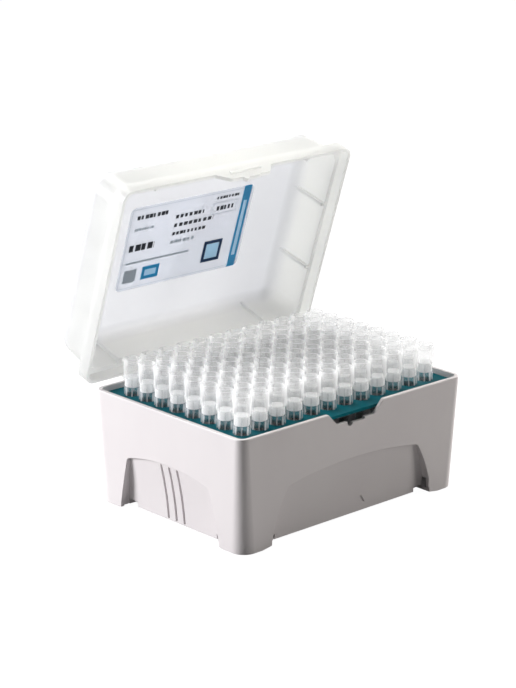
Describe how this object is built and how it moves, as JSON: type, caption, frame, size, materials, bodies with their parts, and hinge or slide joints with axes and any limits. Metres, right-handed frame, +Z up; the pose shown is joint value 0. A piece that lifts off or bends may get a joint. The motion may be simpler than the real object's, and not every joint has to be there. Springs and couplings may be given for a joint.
{
  "type": "pipette tip box",
  "caption": "Hinged box with a translucent lid standing open over a tray of upright filter tips in a square grid.",
  "frame": {"origin": "on the surface that the feet stand on, under the middle of the whole part with its lid open", "axes": "+X along the long side, +Y from the latch towards the hinge, +Z up"},
  "size_m": [0.1208, 0.111, 0.1317],
  "materials": {
    "base_plastic": "fine moulded satin",
    "tray_plastic": "satin moulded teal",
    "lid_plastic": "translucent moulded polypropylene",
    "label_film": "printed film in pale blue",
    "tip_plastic": "clear moulded polypropylene",
    "filter_plug": "white porous"
  },
  "bodies": {
    "box": {"base_box": "base_plastic", "tip_tray": "tray_plastic", "tips_column_01": "tip_plastic", "tips_column_02": "tip_plastic", "tips_column_03": "tip_plastic", "tips_column_04": "tip_plastic", "tips_column_05": "tip_plastic", "tips_column_06": "tip_plastic", "tips_column_07": "tip_plastic", "tips_column_08": "tip_plastic", "tips_column_09": "tip_plastic", "tips_column_10": "tip_plastic", "tips_column_11": "tip_plastic", "tips_column_12": "tip_plastic", "filters_column_01": "filter_plug", "filters_column_02": "filter_plug", "filters_column_03": "filter_plug", "filters_column_04": "filter_plug", "filters_column_05": "filter_plug", "filters_column_06": "filter_plug", "filters_column_07": "filter_plug", "filters_column_08": "filter_plug", "filters_column_09": "filter_plug", "filters_column_10": "filter_plug", "filters_column_11": "filter_plug", "filters_column_12": "filter_plug"},
    "lid": {"lid": "lid_plastic", "lid_label": "label_film"}
  },
  "joints": [
    {"name": "lid_hinge", "type": "hinge", "parent": "box", "child": "lid", "pos_m": [0, 0.03232, 0.0434], "axis": [-1, 0, 0], "range_deg": [-72.5, 27.5]}
  ]
}
